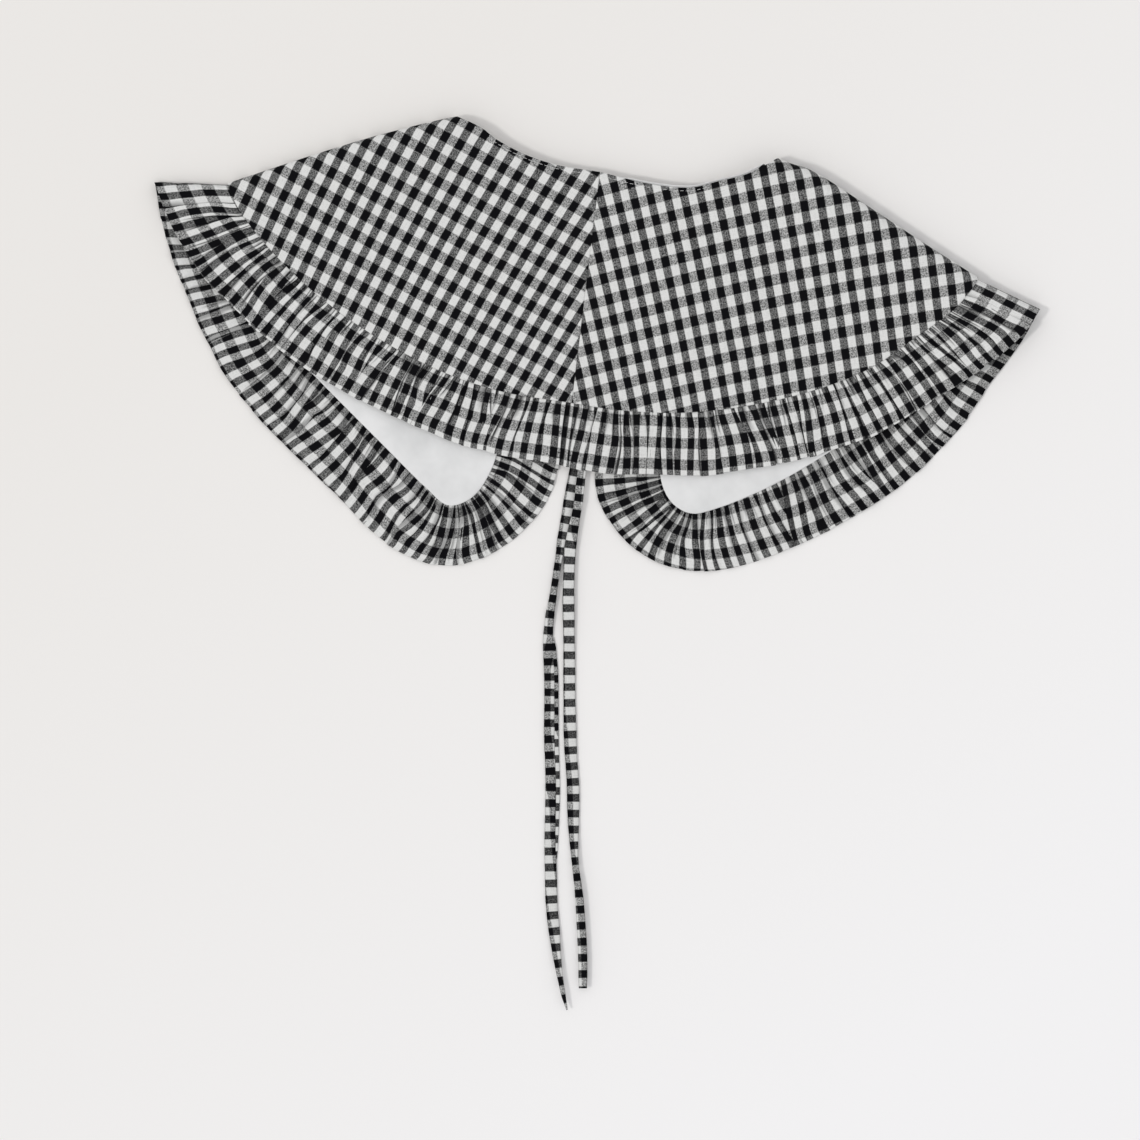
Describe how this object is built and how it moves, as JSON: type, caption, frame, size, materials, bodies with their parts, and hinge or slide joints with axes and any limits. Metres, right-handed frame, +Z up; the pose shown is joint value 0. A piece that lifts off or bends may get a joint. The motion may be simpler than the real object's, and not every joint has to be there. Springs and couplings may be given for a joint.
{
  "type": "detachable collar",
  "caption": "Wide detachable cloth collar with a gathered ruffle edge and narrow tie strings, laid flat with its front lobes folded underneath.",
  "frame": {"origin": "middle of the collar without its ties, on the surface that it lies on", "axes": "+Z up, +X from the left half to the right half as seen from above, +Y from the hem towards the neck edge"},
  "size_m": [0.534, 0.524, 0.0111],
  "materials": {
    "gingham": "matt woven cotton in black and white checks",
    "lining": "plain matt white cotton",
    "tie_gingham": "matt woven cotton in black and white checks, sewn as a narrow tube"
  },
  "bodies": {
    "root": {"left_shell": "gingham", "right_shell": "gingham", "left_lining": "lining", "right_lining": "lining", "left_ruffle": "gingham", "right_ruffle": "gingham", "left_tie": "tie_gingham", "right_tie": "tie_gingham"}
  },
  "joints": []
}
